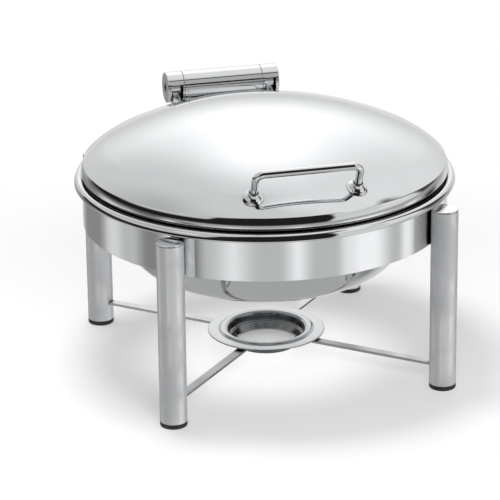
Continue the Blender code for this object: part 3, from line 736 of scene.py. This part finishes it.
def make_barrel():
    radius = outer_radius("hinge_barrel", hinge_axis, "X")
    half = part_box("hinge_barrel")[1].x
    bore = radius - HINGE_WALL
    edge = 0.0005
    outline = rounded([(bore, -half, edge), (radius, -half, edge), (radius, half, edge), (bore, half, edge)])
    barrel = revolve("hinge_barrel_fine", outline, ROUND_TUBE, hinge_axis, ALONG_X)
    stand_for(barrel, "hinge_barrel", barrel_mirror)


# The lid and the hinge's moving half

def make_lid():
    """The dome with the hem turned in under its lower edge."""
    hem_centre = (lid_radius - HEM * math.cos(math.radians(LID_START)), lid_low + HEM)
    face = dome_face() + arc(hem_centre, HEM, LID_START, -90, 8)[1:]
    face += [(lid_radius - HEM_WIDTH, lid_low)]
    lid = revolve("lid_shell_fine", sheet(face, STEEL), ROUND_PAN, pan_axis)
    stand_for(lid, "lid_shell", spun_mirror)


def handle_axes():
    """The directions of the handle's arms and its feet on the dome, by side."""
    low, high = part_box("handle_rod")
    tilt = math.radians(HANDLE_TILT)
    up = Vector((0.0, -math.sin(tilt), math.cos(tilt)))
    bar = Vector((0.0, low.y + HANDLE_ROD, high.z - HANDLE_ROD))
    half = high.x - HANDLE_ROD
    ends = {side: bar + Vector((way * half, 0.0, 0.0)) for side, way in SIDES.items()}
    feet = {side: onto_dome(end - up * 0.03, up) for side, end in ends.items()}
    return up, bar, half, feet


def make_handle_rod():
    up, bar, half, feet = handle_axes()
    height = (bar - (feet["left"] + feet["right"]) / 2).dot(up)
    foot = 0.0015
    across, rise = half - HANDLE_BEND, height - HANDLE_BEND
    left = [(-a, b) for a, b in arc((across, rise), HANDLE_BEND, 0, 90, 16)]
    right = arc((across, rise), HANDLE_BEND, 90, 0, 16)
    flat = [(-half, foot)] + left + right + [(half, foot)]
    origin = bar - up * height
    path = [origin + Vector((x, 0.0, 0.0)) + up * z for x, z in flat]
    normal = Vector((1.0, 0.0, 0.0)).cross(up)
    sections = circle_sections(path, [HANDLE_ROD] * len(path), normal, 40)
    stand_for(loft("handle_rod_fine", sections), "handle_rod", handle_mirror)


def make_handle_foot(side):
    """A flared base over the dome, and the washer and screw that hold it from inside."""
    up, _, _, feet = handle_axes()
    turn = up.to_track_quat("Z", "X").to_matrix().to_4x4()
    at = feet[side]

    bore = HANDLE_ROD + GAP
    seat = 0.0012
    outline = [(SCREW_HOLE + 0.0007, 0.0), (HANDLE_BASE - 0.0003, 0.0), (HANDLE_BASE, 0.0004)]
    outline += arc((HANDLE_BASE + 0.0006, HANDLE_BASE_HEIGHT), 0.0070, 252, 184, 16)
    outline += arc((bore + 0.0009, HANDLE_BASE_HEIGHT - 0.0005), 0.0009, 40, 140, 6)
    outline += [(bore, seat), (SCREW_HOLE + 0.0007, seat)]
    base = revolve("handle_base_fine_" + side, outline, ROUND_TUBE, at, turn)
    for vertex in base.data.vertices:
        above = (vertex.co - at).dot(up)
        if above < 0.0008:
            vertex.co = onto_dome(vertex.co, up, GAP) + up * above
    stand_for(base, "handle_base_" + side, handle_mirror)

    below = 0.0044
    outline = rounded([(SCREW_HOLE + GAP, -below), (0.0070, -below, 0.0006), (0.0070, -0.0012),
                       (SCREW_HOLE + GAP, -0.0012)])
    washer = revolve("handle_washer_fine_" + side, outline, ROUND_SMALL, at, turn)
    for vertex in washer.data.vertices:
        if (vertex.co - at).dot(up) > -0.0020:
            vertex.co = onto_dome(vertex.co, up, -(STEEL + GAP) / up.z)
    stand_for(washer, "handle_washer_" + side, washer_silicone)

    head = -below - GAP
    shank = SCREW_HOLE - GAP
    outline = rounded([(0.0, 0.0100), (shank, 0.0100, 0.0004), (shank, head), (0.0045, head, 0.0003),
                       (0.0045, head - 0.0024, 0.0012), (0.0024, head - 0.0024)])
    outline += [(0.0020, head - 0.0024, 6), (0.0020, head - 0.0010, 6), (0.0, head - 0.0010)]
    screw = revolve("handle_screw_fine_" + side, outline, ROUND_SMALL, at, turn)
    stand_for(screw, "handle_screw_" + side, screw_satin)


def make_knuckle(side):
    """A turning end of the hinge: a cup with a pocket for the screw and a window for the lug."""
    way = SIDES[side]
    radius = outer_radius("hinge_knuckle_" + side, hinge_axis, "X")
    bore = radius - HINGE_WALL
    low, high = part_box("hinge_knuckle_" + side)
    inner, end = sorted((abs(low.x), abs(high.x)))
    wall = WINDOW_OUTER + 0.0004
    place = Matrix.Translation(hinge_axis) @ Matrix.Diagonal((way, 1, 1, 1)) @ ALONG_X
    bm = bmesh.new()

    edge = 0.0006
    pocket = end - KNUCKLE_POCKET_DEPTH
    plate = rounded([(0.0033, wall), (radius, wall), (radius, end, 0.0012), (KNUCKLE_POCKET, end, 0.0004),
                     (KNUCKLE_POCKET, pocket), (0.0033, pocket)])
    revolve_into(bm, plate, ROUND_TUBE, place)
    ring = rounded([(bore, inner, edge), (radius, inner, edge),
                    (radius, WINDOW_INNER), (bore, WINDOW_INNER)])
    revolve_into(bm, ring, ROUND_TUBE, place)

    # The wall between them, all round but for the window at the front and below. The window's upper
    # edge is 22 degrees over the axis, which is higher than on the CAD node.
    start, turn = math.radians(WALL_START), math.radians(WALL_TURN)
    steps = 60
    sections = []
    for k in range(steps + 1):
        angle = start + turn * k / steps
        ray = Vector((0.0, math.cos(angle), math.sin(angle)))
        sections.append([hinge_axis + ray * r + Vector((way * x, 0, 0)) for r, x in
                         ((bore, WINDOW_INNER), (radius, WINDOW_INNER), (radius, wall), (bore, wall))])
    loft_into(bm, sections)
    knuckle = finish_mesh("hinge_knuckle_fine_" + side, bm)
    stand_for(knuckle, "hinge_knuckle_" + side, knuckle_mirror)


def make_hinge_screw(side):
    """The socket screw in the pocket of a knuckle."""
    way = SIDES[side]
    low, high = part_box("hinge_screw_" + side)
    tip, top = sorted((abs(low.x), abs(high.x)))
    head, shank, hex_size = 0.0056, 0.0028, 0.0026
    outline = rounded([(0.0, tip), (shank, tip, 0.0004), (shank, top - 0.0014), (head, top - 0.0014, 0.0002),
                       (head, top, 0.0005), (hex_size + 0.0003, top)])
    outline += [(hex_size, top, 6), (hex_size, top - 0.0010, 6), (0.0, top - 0.0010)]
    turn = Matrix.Diagonal((way, 1, 1, 1)) @ ALONG_X
    screw = revolve("hinge_screw_fine_" + side, outline, ROUND_SMALL, hinge_axis, turn)
    stand_for(screw, "hinge_screw_" + side, hinge_screw_dark)


def make_axle():
    radius, half = outer_radius("hinge_axle", hinge_axis, "X"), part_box("hinge_axle")[1].x
    hole, depth, edge = 0.0031, 0.0120, 0.0004
    outline = rounded([(0.0, -half + depth), (hole, -half + depth), (hole, -half), (radius, -half, edge),
                       (radius, half, edge), (hole, half), (hole, half - depth), (0.0, half - depth)])
    axle = revolve("hinge_axle_fine", outline, ROUND_SMALL, hinge_axis, ALONG_X)
    stand_for(axle, "hinge_axle", screw_satin)


def make_lug(side):
    """The arm on the axle that comes out of its knuckle's window and ends in a pad on the dome."""
    way = SIDES[side]
    node = "hinge_lug_" + side
    eye_outer, eye_inner = 0.0105, outer_radius("hinge_axle", hinge_axis, "X") + GAP
    middle_x, width = 0.0585, 0.0120
    low, high = middle_x - width / 2, middle_x + width / 2
    place = Matrix.Translation(hinge_axis) @ Matrix.Diagonal((way, 1, 1, 1)) @ ALONG_X
    bm = bmesh.new()
    edge = 0.0006
    eye = rounded([(eye_inner, low, 0.0003), (eye_outer, low, edge), (eye_outer, high, edge),
                   (eye_inner, high, 0.0003)])
    revolve_into(bm, eye, ROUND_TUBE, place)

    fall = math.radians(LUG_FALL)
    down = Vector((0.0, -math.sin(fall), -math.cos(fall)))
    thick = Vector((0.0, math.cos(fall), -math.sin(fall)))
    start = hinge_axis + Vector((way * middle_x, 0, 0)) + down * (eye_outer - 0.0020)
    foot = onto_dome(start + down * 0.010, down, 0.0010)
    sections = []
    for k in range(9):
        spot = start.lerp(foot, k / 8)
        flare = 1.0 + 0.25 * (k / 8) ** 3
        loop = []
        for i in range(32):
            angle = math.tau * i / 32
            across = math.copysign(abs(math.cos(angle)) ** 0.6, math.cos(angle)) * width / 2 * flare
            along = math.copysign(abs(math.sin(angle)) ** 0.6, math.sin(angle)) * 0.0045 * flare
            loop.append(spot + Vector((across, 0, 0)) + thick * along)
        sections.append(loop)
    loft_into(bm, sections)

    centre_angle = math.pi / 2 - way * math.atan2(middle_x, hinge_axis.y - pan_axis.y - 0.016)
    half_angle = math.radians(PAD_HALF_ANGLE)
    sections = []
    for i in range(13):
        bearing = centre_angle + half_angle * (i / 6 - 1)
        ease = 1.0 - abs(i / 6 - 1) ** 6
        loop = []
        for radius, rise in pad_profile(ease):
            height = dome_height(radius) + GAP + rise
            loop.append(pan_axis + Vector((radius * math.cos(bearing), radius * math.sin(bearing), height)))
        sections.append(loop)
    loft_into(bm, sections)
    stand_for(finish_mesh("hinge_lug_fine_" + side, bm), node, lug_mirror)


def pad_profile(ease):
    """The pad's closed section as (distance from the pan's axis, rise over the dome)."""
    steps = 12
    radii = [PAD_INNER + (PAD_OUTER - PAD_INNER) * k / steps for k in range(steps + 1)]
    top = [(r, 0.0006 + (PAD_RISE - 0.0012) * ease * (1.0 - abs(2 * k / steps - 1) ** 6))
           for k, r in enumerate(radii)]
    return top + [(r, 0.0) for r in radii[::-1]]


# CAD nodes inside the barrel keep their own shape.

def finish_inner_nodes():
    looks = {"hinge_bush_left": bush_polymer, "hinge_bush_right": bush_polymer, "hinge_damper": screw_satin}
    for node, material in looks.items():
        mesh = frame["nodes"][node].data
        mesh.materials.clear()
        mesh.materials.append(material)


# The studio

FRONT = math.radians(CAMERA_AZIMUTH - 90)

# Strips of light and dark on the floor round the object: bearing, half width, softness, brightness
FLOOR_STRIPS = (
    (-140, 18, 16, 0.26), (-110, 7, 12, 0.72), (-76, 9, 14, 0.24), (-60, 4, 8, 0.80), (-48, 6, 12, 0.10),
    (-20, 6, 24, 0.92), (2, 4, 10, 0.52), (20, 5, 14, 0.94), (52, 4, 8, 0.76), (67, 13, 18, 1.00),
    (100, 5, 8, 0.92), (121, 8, 12, 0.03), (150, 8, 10, 0.72), (165, 10, 8, 0.66), (180, 8, 10, 0.82),
)

# Cards over the floor, in the same terms, with the elevation and its softness between them
SKY_CARDS = (
    # bearing, elevation, half width, half height, soft sideways, soft upwards, slope, lean, brightness
    (110, 55, 55, 50, 60, 50, 0.0, 0.0, 0.80),
    (-75, 40, 45, 22, 50, 28, 0.0, 0.0, 0.47),
    (5, 50, 50, 12, 30, 16, 0.0, 0.0, 0.50),
    (180, 38, 18, 24, 30, 26, 0.0, 0.0, 1.25),
    (-84, -3, 50, 15, 6, 5, 0.10, 0.0, 0.012),
    (12, 30, 41, 32, 5, 4, 0.0, 0.5, 0.015),
    (-51, 33, 9, 6, 3, 3, 0.0, 0.0, 0.85),
    (60, 26, 17, 17, 4, 5, 0.0, 0.0, 0.64),
    (58, 34, 11, 6, 6, 5, 0.0, 0.0, 1.05),
    (110, 21, 13, 27, 8, 6, 0.0, -0.6, 0.06),
)
# The floor far off, in the same terms: bearing, half width, softness, brightness
DISTANT_STRIPS = ((-170, 38, 30, 0.75), (-100, 42, 24, 0.10))
SKY_BASE, FLOOR_BASE, NEAR_FLOOR, DISTANT_FLOOR = 0.66, 0.53, 0.40, 0.36
NEAR_FROM, NEAR_TO = -60.0, -28.0
DISTANT_FROM, DISTANT_TO = -14.0, -2.0
HORIZON, HORIZON_RISE, HORIZON_HIGH, HORIZON_SOFT = -0.5, 1.0, 20.0, 5.0


def within(tree, distance, half, soft):
    """1 within a half width of a card's middle, falling to 0 over its soft edge."""
    return spread(tree, maths(tree, "ABSOLUTE", distance), half - soft / 2, half + soft / 2, 1.0, 0.0)


def make_world():
    """White to the camera. Mirrors see a pale floor in strips, and a sky with dark and light cards."""
    world = bpy.data.worlds.new("studio")
    bpy.context.scene.world = world
    world.use_nodes = True
    tree = world.node_tree
    tree.nodes.clear()
    way = add(tree, "TexCoord").outputs["Generated"]
    parts = add(tree, "SeparateXYZ", {"Vector": way})
    turned = maths(tree, "SUBTRACT", maths(tree, "ARCTAN2", parts.outputs["Y"], parts.outputs["X"]), FRONT)
    bearing = maths(tree, "DEGREES", turned)
    elevation = maths(tree, "DEGREES", maths(tree, "ARCSINE", parts.outputs["Z"]))

    def bearing_from(middle_bearing):
        return maths(tree, "WRAP", maths(tree, "SUBTRACT", bearing, float(middle_bearing)), 180.0, -180.0)

    def with_strips(below, strips):
        for azimuth, half_width, soft, brightness in strips:
            share = within(tree, bearing_from(azimuth), half_width, soft)
            below = blend_in(tree, share, below, brightness)
        return below

    seen = add(tree, "Value").outputs[0]
    seen.default_value = SKY_BASE
    for azimuth, height, half_width, half_height, soft_x, soft_z, slope, lean, brightness in SKY_CARDS:
        up = maths(tree, "SUBTRACT", elevation, float(height))
        aside = maths(tree, "SUBTRACT", bearing_from(azimuth), maths(tree, "MULTIPLY", up, lean))
        up = maths(tree, "SUBTRACT", up, maths(tree, "MULTIPLY", aside, slope))
        sideways = within(tree, aside, half_width, soft_x)
        share = maths(tree, "MULTIPLY", sideways, within(tree, up, half_height, soft_z))
        seen = blend_in(tree, share, seen, brightness)

    floor = add(tree, "Value").outputs[0]
    floor.default_value = FLOOR_BASE
    floor = with_strips(floor, FLOOR_STRIPS)
    floor = blend_in(tree, spread(tree, elevation, NEAR_FROM, NEAR_TO, 1.0, 0.0), floor, NEAR_FLOOR)
    distant = with_strips(DISTANT_FLOOR, DISTANT_STRIPS)
    floor = blend_in(tree, spread(tree, elevation, DISTANT_FROM, DISTANT_TO, 0.0, 1.0), floor, distant)

    tilt = maths(tree, "COSINE", maths(tree, "RADIANS", bearing_from(HORIZON_HIGH)))
    horizon = maths(tree, "MULTIPLY_ADD", tilt, HORIZON_RISE, HORIZON)
    above = maths(tree, "SUBTRACT", elevation, horizon)
    seen = blend_in(tree, spread(tree, above, -HORIZON_SOFT / 2, HORIZON_SOFT / 2, 0.0, 1.0), floor, seen)
    camera = add(tree, "LightPath").outputs["Is Camera Ray"]
    strength = blend_in(tree, camera, seen, 1.0)
    background = add(tree, "Background", {"Color": (1.0, 1.0, 1.0, 1.0), "Strength": strength})
    add(tree, "OutputWorld", {"Surface": background.outputs[0]})


def stage_sheet(name, corners):
    """A flat sheet of the studio, and the empty node tree of its material."""
    bm = bmesh.new()
    bm.faces.new([bm.verts.new(corner) for corner in corners])
    mesh = bpy.data.meshes.new(name)
    bm.to_mesh(mesh)
    bm.free()
    sheet_piece = bpy.data.objects.new(name, mesh)
    bpy.context.scene.collection.objects.link(sheet_piece)
    material = bpy.data.materials.new(name + "_paint")
    material.use_nodes = True
    material.node_tree.nodes.clear()
    mesh.materials.append(material)
    return sheet_piece, material.node_tree


def white_glow(tree, strength):
    inputs = {"Color": (1.0, 1.0, 1.0, 1.0), "Strength": strength}
    return add(tree, "Emission", inputs).outputs[0]


def blend_surfaces(tree, share, first, second):
    """Ends a material's tree in a blend of two shaders."""
    mixed = add(tree, "MixShader", {0: share, 1: first, 2: second}).outputs[0]
    add(tree, "OutputMaterial", {"Surface": mixed})


FLOOR_REACH = 6.0
# How far from the pan's axis the painted pool of light on the floor reaches.
PAINTED_POOL_NEAR, PAINTED_POOL_FAR = 0.07, 0.19
FLOOR_FADE_START, FLOOR_FADE_END = 0.42, 0.70


def make_floor():
    """A pale floor with soft shadows, that fades into the white background, with a painted pool of light under the
    pan.
    """
    signs = ((-1, -1), (1, -1), (1, 1), (-1, 1))
    floor, tree = stage_sheet("floor", [(x * FLOOR_REACH, y * FLOOR_REACH, 0.0) for x, y in signs])
    floor.visible_glossy = False
    spot = add(tree, "TexCoord").outputs["Object"]
    distance = add(tree, "VectorMath", {0: spot}, operation="LENGTH").outputs["Value"]
    speckle = add(tree, "TexNoise", {"Vector": spot, "Scale": 400.0, "Detail": 2.0}).outputs[0]
    paint = spread(tree, speckle, 0.3, 0.7, 0.345, 0.355)
    diffuse = add(tree, "BsdfDiffuse", {"Color": paint}).outputs[0]
    below = add(tree, "VectorMath", {0: spot, 1: pan_axis}, operation="DISTANCE").outputs["Value"]
    # Painted light: the floor glows brighter near the pan's axis, so the shadow under the pan is paler there.
    painted_glow = white_glow(tree, spread(tree, below, PAINTED_POOL_NEAR, PAINTED_POOL_FAR, 0.75, 0.42))
    near = add(tree, "AddShader", {0: diffuse, 1: painted_glow}).outputs[0]
    far = spread(tree, distance, FLOOR_FADE_START, FLOOR_FADE_END, 0.0, 1.0)
    blend_surfaces(tree, far, near, white_glow(tree, 1.0))


def make_light(name, spot, size, power):
    """A large soft light, which only makes the shadows on the floor."""
    lamp = bpy.data.lights.new(name, "AREA")
    lamp.shape = "DISK"
    lamp.size = size
    lamp.energy = power
    light = bpy.data.objects.new(name, lamp)
    light.location = spot
    light.rotation_mode = "QUATERNION"
    light.rotation_quaternion = light.location.to_track_quat("Z", "Y")
    light.visible_glossy = False
    bpy.context.scene.collection.objects.link(light)


def make_reflector(name, low, high, brightness):
    """A pale card over the dome's middle, seen only from behind by the hinge's barrel.

    It spans two elevations as seen from the barrel. From the front it is not there at all.
    """
    stand_off = 0.15
    half_width = 0.20
    front = hinge_axis.y - outer_radius("hinge_barrel", hinge_axis, "X")
    heights = [hinge_axis.z + stand_off * math.tan(math.radians(angle)) for angle in (low, high)]
    low_z, high_z = heights
    spots = ((-half_width, low_z), (half_width, low_z), (half_width, high_z), (-half_width, high_z))
    card, tree = stage_sheet(name, [(x, front - stand_off, z) for x, z in spots])
    card.visible_camera = False
    card.visible_shadow = False
    card.visible_diffuse = False
    rear = add(tree, "NewGeometry").outputs["Backfacing"]
    clear = add(tree, "BsdfTransparent").outputs[0]
    blend_surfaces(tree, rear, clear, white_glow(tree, brightness))


def make_camera():
    azimuth, elevation = math.radians(CAMERA_AZIMUTH), math.radians(CAMERA_ELEVATION)
    right = Vector((math.cos(azimuth), math.sin(azimuth), 0.0))
    back = Vector((math.sin(azimuth) * math.cos(elevation), -math.cos(azimuth) * math.cos(elevation),
                   math.sin(elevation)))
    centre = pan_axis + Vector((0.0, 0.0, AIM_HEIGHT))
    camera = bpy.data.objects.new("camera", bpy.data.cameras.new("camera"))
    camera.data.lens = CAMERA_LENS
    camera.data.sensor_width = 36.0
    camera.data.shift_x, camera.data.shift_y = CAMERA_SHIFT
    camera.location = centre + back * CAMERA_DISTANCE
    facing = Matrix((right, back.cross(right), back)).transposed()
    camera.rotation_euler = (facing @ Matrix.Rotation(math.radians(CAMERA_ROLL), 3, "Z")).to_euler()
    bpy.context.scene.collection.objects.link(camera)
    bpy.context.scene.camera = camera
    bpy.context.scene.view_settings.view_transform = "Standard"


make_hoop()
for corner_name in CORNERS:
    make_leg(corner_name)
    make_leg_screw(corner_name)
    make_brace(corner_name)
make_holder_ring()
make_fuel_holder()
make_water_pan()
make_food_pan()
make_hinge_mount()
make_barrel()
make_lid()
make_handle_rod()
make_axle()
for side_name in SIDES:
    make_handle_foot(side_name)
    make_knuckle(side_name)
    make_hinge_screw(side_name)
    make_lug(side_name)
finish_inner_nodes()
make_world()
make_floor()
make_light("overhead", (-0.20, 0.15, 1.60), 0.5, 24.0)
make_light("fill", (-0.15, -1.50, 1.00), 0.9, 22.0)
make_reflector("low_reflector", 12.0, 20.0, 0.40)
make_reflector("high_reflector", 32.0, 60.0, 0.44)
make_camera()
